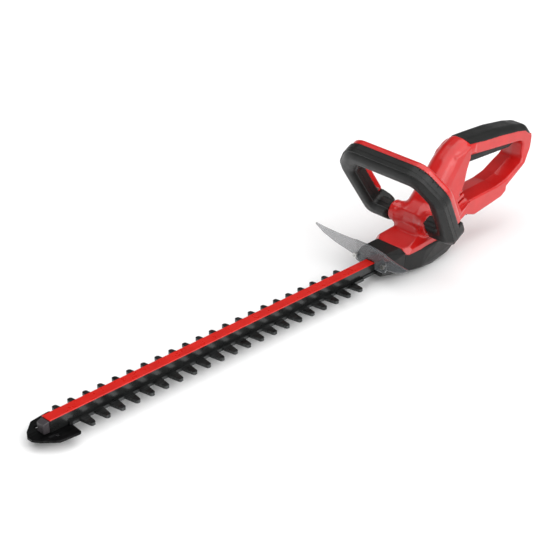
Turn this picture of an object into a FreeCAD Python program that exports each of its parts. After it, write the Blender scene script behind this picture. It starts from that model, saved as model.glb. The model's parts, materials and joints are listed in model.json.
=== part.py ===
"""Cordless hedge trimmer, built as an assembly of separate pieces. Millimetres.

Tool axes: +X runs along the bar towards the tip, +Y is the user's left, +Z is up.
Shapes are drawn about a datum on the top face of the upper blade, in line with the
first teeth, and are moved to the part's origin, at the bottom centre, when written.
"""
import FreeCAD, Part
import math
import os

V = FreeCAD.Vector
axis_x, axis_y, axis_z = V(1, 0, 0), V(0, 1, 0), V(0, 0, 1)

# overall
nose_x = 46.0
rear_x = -820.0
belly_z = -20.0
wall = 3.0
grip_skin_thickness = 1.6

# cutting blades
tooth_pitch = 22.0
tooth_count = 21
tooth_reach = 30.0
tooth_root_y = 12.0
tooth_root_width = 12.0
tooth_tip_width = 6.0
blade_thickness = 2.0
blade_gap = 0.1
blade_front_x = -3.0
tongue_half_width = 9.0
lower_top_z = -blade_thickness - blade_gap

# bar
rail_half_width = 7.0
rail_height = 8.0
cover_half_width = 7.7
cover_top_z = 12.0
rail_front_x = 22.0
cap_front_x = 31.0
nose_front_x = -494.0
case_front_x = -545.0
bolt_count = 7
bolt_radius = 2.5
bolt_first_x = -36.0
bolt_step = 66.0

tip_pad_x = 4.0
tip_plate_rear_x = -6.0
tip_plate_top_z = -4.2
tip_plate_thickness = 3.0
tip_screw_spots = [13.0]
spine_rear_x = -486.0
bolt_spots = [bolt_first_x - bolt_step * i for i in range(bolt_count)]
nose_face_x = -510.0
passage_half_width = 10.0

# hand guard
guard_thickness = 2.5
guard_sweep = 17.0
guard_low_z = 8.0
guard_head_offset = 2.5
guard_head_radius = 3.4
guard_screw_spots = [(nose_face_x, -24.0, 12.5), (nose_face_x, 24.0, 12.5)]

# drive
gear_x = -601.0
eccentric_throw = 5.5
axle_radius = 4.0
disc_radius = 11.0
yoke_play = 1.6
gear_module = 1.0
gear_teeth = 48
pinion_teeth = 10
mesh_clearance = 0.35
gear_low_z = 1.5
gear_height = 8.0
motor_x = gear_x - gear_module * (gear_teeth + pinion_teeth) / 2 - mesh_clearance
plate_low_z = 11.5
plate_thickness = 3.0
bearing_radius = 9.0
seat_top_z = -6.5
case_screw_spots = [(-568, -21), (-568, 21), (-646, -18), (-646, 18)]
shaft_radius = 1.6
motor_radius = 18.5
motor_low_z = 19.0
motor_length = 52.0

# front loop handle
loop_x = -591.0
loop_z = 49.0
loop_tilt = 28.0
loop_arm_radius = 13.0
socket_radius = 15.5
socket_y = 30.0
loop_width = 27.0
loop_front = 15.0
loop_split = 4.0
loop_edge_radius = 7.0
loop_back = -8.0
lever_back = -15.0
groove_half_width = 10.8
groove_floor = -2.5
lever_half_width = 10.0
lever_hinge_height = 24.0
hinge_y = 67.2
loop_screw_spots = [(45, 0), (75.5, 64)]

# rear handle
handle_half_width = 18.0
trigger_half_width = 9.0
trigger_hinge_x = -797.0
trigger_hinge_z = 107.0
battery_half_width = 14.0

frame_shift = V(-(nose_x + rear_x) / 2, 0, -belly_z)


def write(name, shape):
    """Moves a finished piece to the part's frame and writes its STEP."""
    solids = shape.Solids
    whole = solids[0] if len(solids) == 1 else Part.makeCompound(solids)
    whole = whole.copy()
    whole.translate(frame_shift)
    whole.exportStep("parts/" + name + ".step")
    print(name, len(solids), round(whole.Volume), whole.isValid())


def block(x0, x1, y0, y1, z0, z1):
    return Part.makeBox(x1 - x0, y1 - y0, z1 - z0, V(x0, y0, z0))


def rod(radius, start, end):
    along = end - start
    return Part.makeCylinder(radius, along.Length, start, along)


def tube(outer, inner, start, end):
    return rod(outer, start, end).cut(rod(inner, start, end))


def join(shapes):
    whole = shapes[0]
    for shape in shapes[1:]:
        whole = whole.fuse(shape)
    return whole.removeSplitter()


def group(shapes):
    return Part.makeCompound(shapes)


def round_wire(points, radii):
    """Closed wire through points, each corner rounded by a tangent arc of its radius."""
    count = len(points)
    edges, ends = [], []
    for i in range(count):
        before, here, after = points[i - 1], points[i], points[(i + 1) % count]
        radius = radii[i] if isinstance(radii, (list, tuple)) else radii
        to_before, to_after = (before - here).normalize(), (after - here).normalize()
        half = to_before.getAngle(to_after) / 2
        if radius < 0.01 or half > math.pi / 2 - 0.01:
            ends.append((here, None, here))
            continue
        reach = radius / math.tan(half)
        centre = here + (to_before + to_after).normalize() * (radius / math.sin(half))
        middle = centre + (here - centre).normalize() * radius
        ends.append((here + to_before * reach, middle, here + to_after * reach))
    for i in range(count):
        start, middle, end = ends[i]
        if middle is not None:
            edges.append(Part.Arc(start, middle, end).toShape())
        following = ends[(i + 1) % count][0]
        if (following - end).Length > 1e-6:
            edges.append(Part.LineSegment(end, following).toShape())
    return Part.Wire(edges)


def side_plate(outline, radii, y0, y1):
    """Prism between y0 and y1 from an outline of (x, z) points."""
    wire = round_wire([V(x, y0, z) for x, z in outline], radii)
    return Part.Face(wire).extrude(V(0, y1 - y0, 0))


def flat_plate(outline, radii, z0, z1):
    """Prism between z0 and z1 from an outline of (x, y) points."""
    wire = round_wire([V(x, y, z0) for x, y in outline], radii)
    return Part.Face(wire).extrude(V(0, 0, z1 - z0))


# housing outlines, as (x, z) seen from the side, (y, z) from the front, (x, y) from above
tower_side = [(-548, 22), (-558, 34), (-584, 50), (-602, 66), (-623, 93), (-642, 115),
              (-660, 129), (-678, 136), (-700, 134), (-700, 26), (-662, 29), (-575, 28)]
tower_radii = [2, 8, 10, 20, 25, 30, 30, 12, 0, 0, 6, 6]
tower_half_front = [(26, 20), (31, 30), (25, 46), (25, 80), (19, 108), (18, 126), (9, 137)]
tower_half_plan = [(-545, 24), (-572, 27), (-612, 31), (-645, 31), (-668, 24), (-702, 22)]
frame_outer = [(-664, 29), (-678, 29), (-695, 21.5), (-753, 30), (-763, 36), (-763, 43),
               (-802, 64), (-817, 82), (rear_x, 104), (-807, 119.5), (-690, 136), (-664, 136)]
frame_outer_radii = [0, 3, 3, 4, 3, 3, 12, 12, 14, 14, 10, 0]
frame_inner = [(-684, 111), (-676, 86), (-671, 64), (-680, 51), (-741, 53), (-762, 57),
               (-796, 72), (-799, 97)]
frame_inner_radii = [5, 20, 8, 8, 12, 12, 8, 6]
frame_half_front = [(16, 20), (22, 26), (22, 56), (handle_half_width, 72),
                    (handle_half_width, 128), (9, 137)]
grip_outline = [(-690, 123), (-690, 150), (-850, 150), (-850, 104), (-808, 104)]
case_side = [(-545, 21.3), (-545, -8), (-555, -14), (-578, -20), (-614, -20), (-641, -9),
             (-660, 8), (-664, 29), (-575, 28)]
case_half_front = [(20, -21), (29, -8), (35, 14), (35, 30)]
case_half_plan = [(-545, 26), (-577, 35), (-640, 31), (-666, 21)]
screw_spots = [(-567, 33), (-629, 88), (-655, 114), (-676, 37), (-757, 46), (-808, 84),
               (-684, 126)]
reach = 60.0


def mirror_y(points):
    """Closed outline from its half at positive second coordinate."""
    return points + [(a, -b) for a, b in reversed(points)]


def mirror_first(points):
    """Closed outline from its half at positive first coordinate."""
    return points + [(-a, b) for a, b in reversed(points)]


def prism(points, radii, inset, along):
    """Prism of a closed outline of vectors, drawn in by inset (grown if negative)."""
    face = Part.Face(round_wire(points, radii))
    if inset:
        face = face.makeOffset2D(-inset)
    return face.extrude(along)


def side_prism(outline, radii, inset=0):
    return prism([V(x, -reach, z) for x, z in outline], radii, inset, V(0, 2 * reach, 0))


def front_prism(half, inset=0):
    outline = [V(-850, y, z) for y, z in mirror_first(half)]
    return prism(outline, 3, inset, V(320, 0, 0))


def plan_prism(half, inset=0):
    outline = [V(x, y, -60) for x, y in mirror_y(half)]
    return prism(outline, 0, inset, V(0, 0, 240))


def housing_body(inset):
    """Tower and rear handle as one solid, drawn in by inset all round."""
    tower = side_prism(tower_side, tower_radii, inset)
    tower = tower.common(front_prism(tower_half_front, inset))
    tower = tower.common(plan_prism(tower_half_plan, inset))
    handle = side_prism(frame_outer, frame_outer_radii, inset)
    handle = handle.common(front_prism(frame_half_front, inset))
    hole = side_prism(frame_inner, frame_inner_radii, -inset)
    return tower.fuse(handle).cut(hole)


def vent_slots():
    """Three slanted openings through each flank, behind the motor."""
    slots = []
    for i in range(3):
        slot = block(-8 + 1.5 * i, 8 - 1.5 * i, -40, 40, -1.4, 1.4)
        slot.rotate(V(0, 0, 0), axis_y, -60)
        slot.translate(V(-664 - 6.5 * i, 0, 56 + 3.5 * i))
        slots.append(slot)
    return slots


def housing():
    outer = housing_body(0)
    grip = outer.common(side_prism(grip_outline, [0, 0, 0, 0, 4]))
    grip = grip.cut(housing_body(grip_skin_thickness))
    shell = outer.cut(housing_body(wall)).cut(grip)
    for side in (-1, 1):
        socket = rod(socket_radius, V(loop_x, side * 22, loop_z), V(loop_x, side * socket_y, loop_z))
        shell = shell.fuse(socket)
    for x, z in screw_spots:
        shell = shell.fuse(rod(4.0, V(x, -40, z), V(x, 40, z)).common(outer))
    for x, z in screw_spots:
        shell = shell.cut(rod(1.6, V(x, -40, z), V(x, 9, z)))
        shell = shell.cut(rod(3.2, V(x, -40, z), V(x, -12, z)))
    shell = shell.cut(rod(motor_radius + 0.7, V(motor_x, 0, 20), V(motor_x, 0, 40)))
    for side in (-1, 1):
        shell = shell.cut(rod(7.0, V(loop_x, side * 20, loop_z), V(loop_x, side * 40, loop_z)))
    for slot in vent_slots():
        shell = shell.cut(slot)
    slot_half = trigger_half_width + 0.6
    shell = shell.cut(block(-795.5, -688.5, -slot_half, slot_half, 86, 116))
    shell = shell.cut(block(-751, -687, -battery_half_width, battery_half_width, 10, 34))
    left = shell.common(block(-900, 0, 0, 80, -60, 200))
    right = shell.common(block(-900, 0, -80, 0, -60, 200))
    return largest(left), largest(right), largest(grip)


def largest(shape):
    return max(shape.Solids, key=lambda solid: solid.Volume)


def housing_screws():
    """Pan-head screws from the right, into the blind bosses of the left shell."""
    screws = []
    for x, z in screw_spots:
        shank = rod(1.6, V(x, -12, z), V(x, 9, z))
        head = rod(2.9, V(x, -14, z), V(x, -12, z))
        recess = block(x - 0.4, x + 0.4, -15, -13, z - 1.8, z + 1.8)
        screws.append(shank.fuse(head).cut(recess).removeSplitter())
    return group(screws)


# ---- lower gear case and drive
def gear_case():
    def body(inset):
        solid = side_prism(case_side, [2, 5, 4, 6, 6, 6, 6, 2, 3], inset)
        solid = solid.common(front_prism(case_half_front, inset))
        return solid.common(plan_prism(case_half_plan, inset))
    outer = body(0)
    cavity = body(wall).fuse(body(wall).translated(V(0, 0, 6)))
    case = outer.cut(cavity.common(block(-700, -500, -60, 60, belly_z + wall, 60)))
    seat = tube(12.0, bearing_radius, V(gear_x, 0, belly_z + 1), V(gear_x, 0, seat_top_z))
    case = case.fuse(seat)
    case = case.cut(block(-550, -540, -passage_half_width, passage_half_width,
                          lower_top_z - blade_thickness - 1.2, 0.1))
    for x, y in case_screw_spots:
        pillar = rod(3.6, V(x, y, belly_z + 6), V(x, y, plate_low_z)).common(outer)
        case = case.fuse(pillar)
    for x, y in case_screw_spots:
        case = case.cut(rod(1.6, V(x, y, 0), V(x, y, plate_low_z + 1)))
    return largest(case)


def gear_plate():
    """Metal plate over the gear that holds the upper bearing and the motor."""
    half = [(-560, 18), (-578, 29), (-640, 28), (-654, 16)]
    plate = flat_plate(mirror_y(half), 3, plate_low_z, plate_low_z + plate_thickness)
    boss = rod(12.0, V(gear_x, 0, plate_low_z), V(gear_x, 0, plate_low_z + 5.5))
    plate = plate.fuse(boss)
    plate = plate.cut(rod(bearing_radius, V(gear_x, 0, 0), V(gear_x, 0, plate_low_z + 5.5)))
    plate = plate.cut(rod(6.5, V(motor_x, 0, 0), V(motor_x, 0, 40)))
    for x, y in case_screw_spots:
        plate = plate.cut(rod(1.7, V(x, y, 0), V(x, y, 40)))
    return plate.removeSplitter()


def case_screws():
    screws = []
    for x, y in case_screw_spots:
        top = plate_low_z + plate_thickness
        shank = rod(1.6, V(x, y, top - 10), V(x, y, top))
        screws.append(shank.fuse(rod(3.0, V(x, y, top), V(x, y, top + 1.8))))
    return group(screws)


def bearings():
    rings = []
    for low in (seat_top_z - 5, plate_low_z + 0.5):
        start, end = V(gear_x, 0, low), V(gear_x, 0, low + 5)
        rings.append(tube(bearing_radius, axle_radius + 0.03, start, end))
    return group(rings)


def toothed_disc(teeth, centre_x, low, high, bore, turn):
    """Spur gear: straight-flanked teeth on a root disc, with a bore."""
    pitch_radius = gear_module * teeth / 2
    root, tip = pitch_radius - 1.2 * gear_module, pitch_radius + 0.9 * gear_module
    points = []
    for i in range(teeth):
        middle = turn + 2 * math.pi * i / teeth
        for radius, half_width in ((root, 0.95), (tip, 0.35)):
            points.append((radius, middle - half_width * gear_module / radius, radius == tip))
        for radius, half_width in ((tip, 0.35), (root, 0.95)):
            points.append((radius, middle + half_width * gear_module / radius, radius == tip))
    vectors = [V(centre_x + r * math.cos(a), r * math.sin(a), low) for r, a, _ in points]
    face = Part.Face(Part.makePolygon(vectors + vectors[:1]))
    wheel = face.extrude(V(0, 0, high - low))
    return wheel.cut(rod(bore, V(centre_x, 0, low), V(centre_x, 0, high)))


def drive_gear():
    gear = toothed_disc(gear_teeth, gear_x, gear_low_z, gear_low_z + gear_height, axle_radius, 0)
    for i in range(6):
        angle = math.radians(60 * i)
        x, y = gear_x + 14 * math.cos(angle), 14 * math.sin(angle)
        gear = gear.cut(rod(4.2, V(x, y, 0), V(x, y, 20)))
    return gear


def gear_axle():
    start, end = V(gear_x, 0, seat_top_z - 5), V(gear_x, 0, plate_low_z + 5.4)
    return rod(axle_radius, start, end)


def eccentric(side, top_z):
    """Disc offset from the axle along the bar's cross direction, one for each blade."""
    centre = V(gear_x, side * eccentric_throw, top_z - blade_thickness)
    disc = rod(disc_radius, centre, centre + V(0, 0, blade_thickness))
    hole = rod(axle_radius, V(gear_x, 0, top_z - blade_thickness), V(gear_x, 0, top_z))
    return disc.cut(hole)


def motor_parts():
    """Can, end bushes, brushes; shaft, armature, commutator, fan and pinion."""
    top = motor_low_z + motor_length
    base = V(motor_x, 0, motor_low_z)
    can = rod(motor_radius, base, V(motor_x, 0, top))
    can = can.cut(rod(motor_radius - 2, V(motor_x, 0, motor_low_z + 2), V(motor_x, 0, top - 2)))
    bush_spots = [(plate_low_z + plate_thickness, motor_low_z + 2), (top - 2, top + 2)]
    can = can.cut(rod(5.0, V(motor_x, 0, motor_low_z - 1), V(motor_x, 0, top + 3)))
    for i in range(6):
        angle = math.radians(60 * i)
        x, y = motor_x + 12 * math.cos(angle), 12 * math.sin(angle)
        can = can.cut(rod(2.2, V(x, y, top - 3), V(x, y, top + 1)))
    flange = rod(12.0, V(motor_x, 0, plate_low_z + plate_thickness), base)
    can = can.fuse(flange).cut(rod(5.0, V(motor_x, 0, 0), base)).removeSplitter()
    magnets = tube(motor_radius - 2, 14.2, V(motor_x, 0, motor_low_z + 11), V(motor_x, 0, top - 8))
    gap = block(motor_x - 20, motor_x + 20, -5, 5, motor_low_z, top)
    magnets = magnets.cut(gap)
    bushes = group([tube(5.0, shaft_radius + 0.03, V(motor_x, 0, low), V(motor_x, 0, high))
                    for low, high in bush_spots])
    shaft = rod(shaft_radius, V(motor_x, 0, gear_low_z - 0.5), V(motor_x, 0, top + 1.5))
    armature_low = motor_low_z + 12
    spokes = [block(motor_x - 12, motor_x + 12, -2.5, 2.5, armature_low, armature_low + 28)]
    for angle in (60, 120):
        arm = spokes[0].copy()
        arm.rotate(V(motor_x, 0, 0), axis_z, angle)
        spokes.append(arm)
    centre = rod(6.0, V(motor_x, 0, armature_low), V(motor_x, 0, armature_low + 28))
    rim = tube(13.5, 11.5, V(motor_x, 0, armature_low), V(motor_x, 0, armature_low + 28))
    armature = join(spokes + [centre])
    armature = armature.fuse(rim)
    for angle in (30, 90, 150, 210, 270, 330):
        gap = block(motor_x + 8, motor_x + 15, -1.0, 1.0, armature_low - 1, armature_low + 30)
        gap.rotate(V(motor_x, 0, 0), axis_z, angle)
        armature = armature.cut(gap)
    hole = rod(shaft_radius, V(motor_x, 0, 0), V(motor_x, 0, 120))
    armature = armature.cut(hole)
    commutator = rod(5.0, V(motor_x, 0, armature_low + 30), V(motor_x, 0, armature_low + 36)).cut(hole)
    fan_low = motor_low_z + 3.5
    fan = rod(5.0, V(motor_x, 0, fan_low), V(motor_x, 0, fan_low + 6))
    fan = fan.fuse(rod(14.0, V(motor_x, 0, fan_low), V(motor_x, 0, fan_low + 1.2)))
    for i in range(8):
        vane = block(motor_x + 4, motor_x + 13.5, -0.6, 0.6, fan_low + 1, fan_low + 6)
        vane.rotate(V(motor_x, 0, 0), axis_z, 45 * i)
        fan = fan.fuse(vane)
    fan = fan.cut(hole).removeSplitter()
    half_tooth = math.pi / pinion_teeth
    pinion = toothed_disc(pinion_teeth, motor_x, gear_low_z, gear_low_z + gear_height,
                          shaft_radius, half_tooth)
    brushes = []
    for side in (-1, 1):
        ends = sorted((side * 5.3, side * 12.0))
        brushes.append(block(motor_x - 2.5, motor_x + 2.5, ends[0], ends[1],
                             armature_low + 31, armature_low + 35))
    return {"motor_can": can, "motor_bushes": bushes, "motor_shaft": shaft,
            "armature": armature, "commutator": commutator, "cooling_fan": fan,
            "pinion": pinion, "motor_brushes": group(brushes), "motor_magnets": magnets}


# ---- blades and bar
def tooth(x, side, z0, z1):
    """One tooth: wide at the root, tapering to a rounded tip."""
    half_root, half_tip = tooth_root_width / 2, tooth_tip_width / 2
    outline = [(x - half_root, side * tooth_root_y), (x - half_tip, side * tooth_reach),
               (x + half_tip, side * tooth_reach), (x + half_root, side * tooth_root_y)]
    return flat_plate(outline, [0, half_tip - 0.3, half_tip - 0.3, 0], z0, z1)


def slot_hole(x, half_length, half_width, z0, z1):
    outline = [(x - half_length, -half_width), (x + half_length, -half_width),
               (x + half_length, half_width), (x - half_length, half_width)]
    return flat_plate(outline, half_width - 0.02, z0, z1)


def blade(top_z):
    """Spine with its yoke, and the teeth as solids that meet it face to face."""
    low_z = top_z - blade_thickness
    rear = spine_rear_x
    yoke_x = disc_radius + yoke_play
    yoke_y = disc_radius + eccentric_throw + 0.5
    outline = [(blade_front_x, 10), (blade_front_x - 3, tooth_root_y), (rear, tooth_root_y),
               (rear, tongue_half_width), (gear_x + yoke_x + 14, tongue_half_width),
               (gear_x + yoke_x + 6, yoke_y + 5), (gear_x - yoke_x - 6, yoke_y + 5)]
    body = flat_plate(mirror_y(outline), 0, low_z, top_z)
    teeth = []
    for i in range(1, tooth_count + 1):
        teeth.append(tooth(-tooth_pitch * i, 1, low_z, top_z))
    for i in range(tooth_count + 1):
        teeth.append(tooth(-tooth_pitch * (i + 0.5), -1, low_z, top_z))
    outline = [(gear_x - yoke_x, -yoke_y), (gear_x + yoke_x, -yoke_y),
               (gear_x + yoke_x, yoke_y), (gear_x - yoke_x, yoke_y)]
    body = body.cut(flat_plate(outline, 4, low_z - 1, top_z + 1))
    half_length = bolt_radius + 0.3 + eccentric_throw + 0.7
    for x in bolt_spots:
        body = body.cut(slot_hole(x, half_length, bolt_radius + 0.35, low_z - 1, top_z + 1))
    return group([largest(body.removeSplitter())] + teeth)


def blade_rail():
    """Bar that carries the blades: solid steel section with nut pockets under the cover."""
    rail = block(case_front_x + 3, rail_front_x, -rail_half_width, rail_half_width, 0.1, rail_height)
    pad = block(tip_pad_x, rail_front_x, -rail_half_width, rail_half_width, tip_plate_top_z, 0.1)
    rail = rail.fuse(pad).removeSplitter()
    for x in bolt_spots + tip_screw_spots:
        rail = rail.cut(rod(bolt_radius + 0.02, V(x, 0, -6), V(x, 0, 20)))
        rail = rail.cut(rod(4.6, V(x, 0, rail_height - 4), V(x, 0, 20)))
    return rail


def rail_cover():
    """Painted cover strip, a flat channel with bevelled upper edges."""
    half, top = cover_half_width, cover_top_z
    outline = mirror_first([(half, rail_height - 3.5), (half, top - 1.2), (half - 1.2, top)])
    points = [V(nose_face_x, y, z) for y, z in outline]
    cover = prism(points, 0.4, 0, V(rail_front_x - nose_face_x, 0, 0))
    return cover.cut(block(-700, 100, -rail_half_width, rail_half_width, 0, rail_height))


def end_cap():
    points = [V(rail_front_x, y, z) for y, z in
              mirror_first([(cover_half_width, tip_plate_top_z), (cover_half_width, cover_top_z - 0.8)])]
    cap = prism(points, 0.6, 0, V(cap_front_x - rail_front_x, 0, 0))
    return cap


def tip_plate():
    """Blunt steel nose plate below the end of the bar, with a curved slot each side."""
    half = [(tip_plate_rear_x, 13), (-4.5, 29.5), (1, 29.5), (24, 27), (40, 13), (nose_x, 4)]
    low_z = tip_plate_top_z - tip_plate_thickness
    plate = flat_plate(mirror_y(half), [0, 2, 2, 4, 6, 3, 3, 6, 4, 2, 2, 0], low_z, tip_plate_top_z)
    for side in (-1, 1):
        outline = [(15, side * 15), (21, side * 12.5), (29, side * 11.5), (29, side * 14.5),
                   (22, side * 16.5), (17, side * 19.5)]
        plate = plate.cut(flat_plate(outline, 1.2, low_z - 1, low_z + 5))
    for x in tip_screw_spots:
        plate = plate.cut(rod(bolt_radius + 0.02, V(x, 0, low_z - 1), V(x, 0, low_z + 5)))
    return plate


def bolts(spots, head_top_z):
    """Domed-head bolts from below, up to nuts in the bar."""
    made = []
    for x in spots:
        shank = rod(bolt_radius, V(x, 0, head_top_z), V(x, 0, rail_height - 0.2))
        head = rod(4.6, V(x, 0, head_top_z - 2.4), V(x, 0, head_top_z))
        head = head.makeChamfer(0.7, [head.Edges[2]])
        made.append(shank.fuse(head).removeSplitter())
    return group(made)


def washers():
    high = lower_top_z - blade_thickness - blade_gap
    return group([tube(6.5, bolt_radius + 0.02, V(x, 0, high - 1.0), V(x, 0, high))
                  for x in bolt_spots])


def nuts():
    made = []
    for x in bolt_spots + tip_screw_spots:
        points = [V(x + 4.5 * math.cos(math.radians(60 * i)), 4.5 * math.sin(math.radians(60 * i)),
                    rail_height - 4) for i in range(6)]
        nut = Part.Face(Part.makePolygon(points + points[:1])).extrude(V(0, 0, 3.6))
        made.append(nut.cut(rod(bolt_radius, V(x, 0, 0), V(x, 0, 20))))
    return group(made)


def blade_nose():
    """Black casting that grips the bar where it leaves the gear case."""
    half = [(case_front_x, 17), (nose_face_x, 17)]
    nose = flat_plate(mirror_y(half), 0, -8, 17)
    ears = [(case_front_x, 22), (nose_face_x - 9, 29), (nose_face_x, 29)]
    nose = nose.fuse(flat_plate(mirror_y(ears), [0, 4, 3, 3, 4, 0], 7, 17))
    nose = nose.fuse(block(nose_face_x - 1, nose_front_x, -12, 12, -8, -5.6))
    passage = block(-560, -480, -passage_half_width, passage_half_width,
                    lower_top_z - blade_thickness - 1.2, 0.1)
    seat = block(-560, -480, -rail_half_width, rail_half_width, 0, rail_height)
    nose = nose.cut(passage).cut(seat)
    for x, y, z in guard_screw_spots:
        nose = nose.cut(rod(1.6, V(x - 12, y, z), V(x, y, z)))
    return largest(nose.removeSplitter())


def felt_seal():
    """Oiled felt frame round the blade tongues, inside the nose."""
    low, high = lower_top_z - blade_thickness - 1.2, 0.1
    frame = block(-536, -530, -passage_half_width, passage_half_width, low, high)
    hole = block(-540, -520, -tongue_half_width - 0.2, tongue_half_width + 0.2, low + 1.0, high)
    return frame.cut(hole)


def hand_guard():
    """Clear swept shield: two wings rising outwards from a foot over the bar."""
    half = [(0, guard_low_z), (9, guard_low_z), (27, guard_low_z), (33, 14), (80, 38), (82, 43),
            (78, 44), (0, 39)]
    sweep = math.degrees(math.atan2(guard_sweep, 82))
    outline = [V(nose_face_x, y, z) for y, z in half]
    wing = prism(outline, [0, 0, 3, 6, 2, 1, 4, 0], 0, V(guard_thickness, 0, 0))
    wing.rotate(V(nose_face_x, 0, 0), axis_z, -sweep)
    other = wing.mirror(V(0, 0, 0), axis_y)
    foot = flat_plate(mirror_y([(nose_face_x, 29), (nose_face_x + guard_thickness, 29)]), 0,
                      guard_low_z, 15)
    sheet = wing.fuse(other).fuse(foot).removeSplitter()
    sheet = sheet.cut(block(-600, nose_face_x, -100, 100, -50, 100))
    sheet = sheet.cut(block(-600, -400, -cover_half_width - 0.4, cover_half_width + 0.4, -50,
                            cover_top_z + 0.4))
    for x, y, z in guard_screw_spots:
        sheet = sheet.cut(rod(1.7, V(x - 5, y, z), V(x + 20, y, z)))
        sheet = sheet.cut(rod(guard_head_radius + 0.4, V(x + guard_head_offset, y, z), V(x + 20, y, z)))
    return largest(sheet)


def guard_screws():
    made = []
    for x, y, z in guard_screw_spots:
        head_x = x + guard_head_offset
        shank = rod(1.6, V(x - 10, y, z), V(head_x, y, z))
        head = rod(guard_head_radius, V(head_x, y, z), V(head_x + 1.8, y, z))
        recess = block(head_x + 1, head_x + 3, y - 2, y + 2, z - 0.4, z + 0.4)
        made.append(shank.fuse(head).cut(recess).removeSplitter())
    return group(made)


# ---- front loop handle, drawn upright facing +X and then leaned forward
loop_line = [(socket_y, 0), (62, 0), (78, 74), (56, 102)]
loop_radii = [(13, 3), (28, 8), (28, 8)]


def offset_line(line, distance):
    """Polyline moved sideways by distance, corners mitred."""
    points = [V(0, y, z) for y, z in line]
    sides = []
    for a, b in zip(points, points[1:]):
        along = (b - a).normalize()
        sides.append(V(0, along.z, -along.y) * distance)
    moved = [points[0] + sides[0]]
    for i in range(1, len(points) - 1):
        total = sides[i - 1] + sides[i]
        moved.append(points[i] + total * (distance ** 2 / (distance ** 2 + sides[i - 1].dot(sides[i]))))
    moved.append(points[-1] + sides[-1])
    return moved


def loop_band(half_width, x0, x1, start_y, low=None):
    """C-shaped band along the loop's centre line, open at the body."""
    half = [(start_y, 0)] + loop_line[1:]
    line = half + [(-y, z) for y, z in reversed(half)]
    outer, inner = offset_line(line, half_width), offset_line(line, -half_width)
    scale = 2 * half_width / loop_width
    big = [radius * scale for radius, _ in loop_radii]
    small = [radius / scale for _, radius in loop_radii]
    radii = [0] + big + big[::-1] + [0, 0] + small + small[::-1] + [0]
    points = [V(x0, p.y, p.z) for p in outer] + [V(x0, p.y, p.z) for p in reversed(inner)]
    band = Part.Face(round_wire(points, radii)).extrude(V(x1 - x0, 0, 0))
    if low is not None:
        band = band.common(block(-50, 50, -120, 120, low, 200))
    return band


def on_end(edge):
    """True for an edge on the flat end of the band that meets the body."""
    box = edge.BoundBox
    return box.YLength < 0.01 and min(abs(box.YMin), abs(box.YMax)) < socket_y + 1


def lean(shape):
    shape = shape.copy()
    shape.rotate(V(0, 0, 0), axis_y, loop_tilt)
    shape.translate(V(loop_x, 0, loop_z))
    return shape


def loop_handle():
    half = loop_width / 2
    front = loop_band(half, loop_split, loop_front, socket_y + 0.2)
    rims = [edge for edge in front.Edges
            if edge.BoundBox.XMin > loop_front - 0.01 and not on_end(edge)]
    front = front.makeFillet(loop_edge_radius, rims)
    front = front.cut(loop_band(half - wall, loop_split, loop_front - wall, socket_y + 4))
    rear = loop_band(half, loop_back, loop_split, socket_y + 0.2)
    rear = rear.cut(loop_band(half - wall, 1.0, loop_split, socket_y + 4))
    groove_low = lever_hinge_height - 9
    rear = rear.cut(loop_band(groove_half_width, loop_back, groove_floor, socket_y + 8, groove_low))
    lever = loop_band(lever_half_width, lever_back, loop_back + 0.6, socket_y + 8,
                      lever_hinge_height - 7)
    pins, lugs, springs = [], [], []
    pin_x = -5.0
    for side in (-1, 1):
        y = side * hinge_y
        span = (V(pin_x, y - groove_half_width - 1.6, lever_hinge_height),
                V(pin_x, y + groove_half_width + 1.6, lever_hinge_height))
        pins.append(rod(1.6, *span))
        lug = rod(2.3, V(pin_x, y - 5, lever_hinge_height), V(pin_x, y + 5, lever_hinge_height))
        lugs.append(lug.fuse(block(loop_back - 3, pin_x, y - 5, y + 5, lever_hinge_height - 2.2,
                                   lever_hinge_height + 2.2)))
        springs.append(tube(2.2, 1.7, V(pin_x, y + side * 5.6, lever_hinge_height),
                            V(pin_x, y + side * 9.2, lever_hinge_height)))
        rear = rear.cut(rod(1.6, *span))
    lever = lever.fuse(lugs[0]).fuse(lugs[1])
    for side in (-1, 1):
        y = side * hinge_y
        lever = lever.cut(rod(1.66, V(pin_x, y - 12, lever_hinge_height),
                              V(pin_x, y + 12, lever_hinge_height)))
    lever = lever.removeSplitter()
    screws = []
    for y, z in loop_screw_spots:
        for side in (-1, 1):
            front = front.fuse(rod(3.4, V(loop_split, side * y, z), V(loop_front - 1, side * y, z)))
            front = front.cut(rod(1.5, V(loop_split - 1, side * y, z), V(loop_front - 3, side * y, z)))
            rear = rear.cut(rod(1.5, V(groove_floor - 2, side * y, z), V(loop_split, side * y, z)))
            shank = rod(1.5, V(1.0, side * y, z), V(loop_front - 4, side * y, z))
            screws.append(shank.fuse(rod(2.6, V(1.0, side * y, z), V(2.6, side * y, z))))
    switch = block(loop_split + 0.2, loop_front - wall - 0.2, -9, 9, 102 - 6, 102 + 6)
    tenons = []
    front, rear, lever = lean(largest(front)), lean(largest(rear)), lean(largest(lever))
    for side in (-1, 1):
        tenons.append(rod(6.9, V(loop_x, side * (socket_y - 6), loop_z),
                          V(loop_x, side * (socket_y + 4), loop_z)))
    for tenon in tenons:
        front, rear = front.cut(tenon), rear.cut(tenon)
    return {"loop_front_half": largest(front), "loop_rear_half": largest(rear),
            "front_switch_lever": lever, "lever_pins": lean(group(pins)),
            "lever_springs": lean(group(springs)), "loop_screws": lean(group(screws)),
            "lever_switch": lean(switch), "loop_tenons": group(tenons)}


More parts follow.
